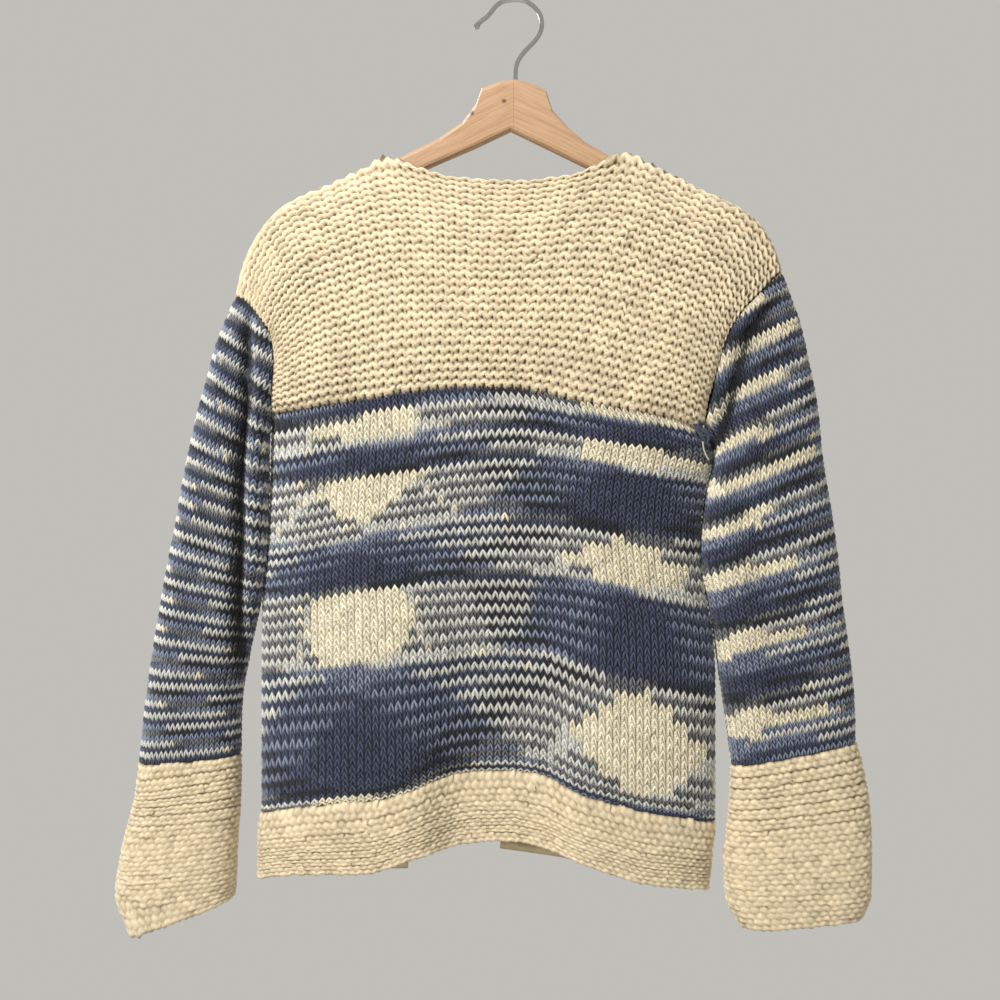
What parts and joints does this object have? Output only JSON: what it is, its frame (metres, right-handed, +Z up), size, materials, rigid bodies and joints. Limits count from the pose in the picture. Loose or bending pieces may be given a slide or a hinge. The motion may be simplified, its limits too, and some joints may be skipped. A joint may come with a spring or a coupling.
{
  "type": "cardigan on a hanger",
  "caption": "Hand-knitted cardigan with garter-stitch yoke, hem and cuffs and space-dyed body and sleeves, hung on a wooden hanger with a wire hook.",
  "frame": {"origin": "the inner top of the hook's bend, where a rail carries it", "axes": "+Z up, from hem to hook; -Y out of the cardigan's back; +Y out of its open front; -X the wearer's left"},
  "size_m": [0.7091, 0.0689, 0.8792],
  "materials": {
    "cream_wool": "matte undyed wool, garter stitch",
    "dyed_wool": "matte space-dyed wool in cream, grey-blue and navy, stockinette",
    "wood": "satin varnish",
    "steel": "polished wire"
  },
  "bodies": {
    "root": {"back_yoke": "cream_wool", "front_yoke_left": "cream_wool", "front_yoke_right": "cream_wool", "body_panel": "dyed_wool", "body_hem": "cream_wool", "sleeve_left": "dyed_wool", "sleeve_right": "dyed_wool", "cuff_left": "cream_wool", "cuff_right": "cream_wool", "hanger": "wood", "hook": "steel"}
  },
  "joints": []
}
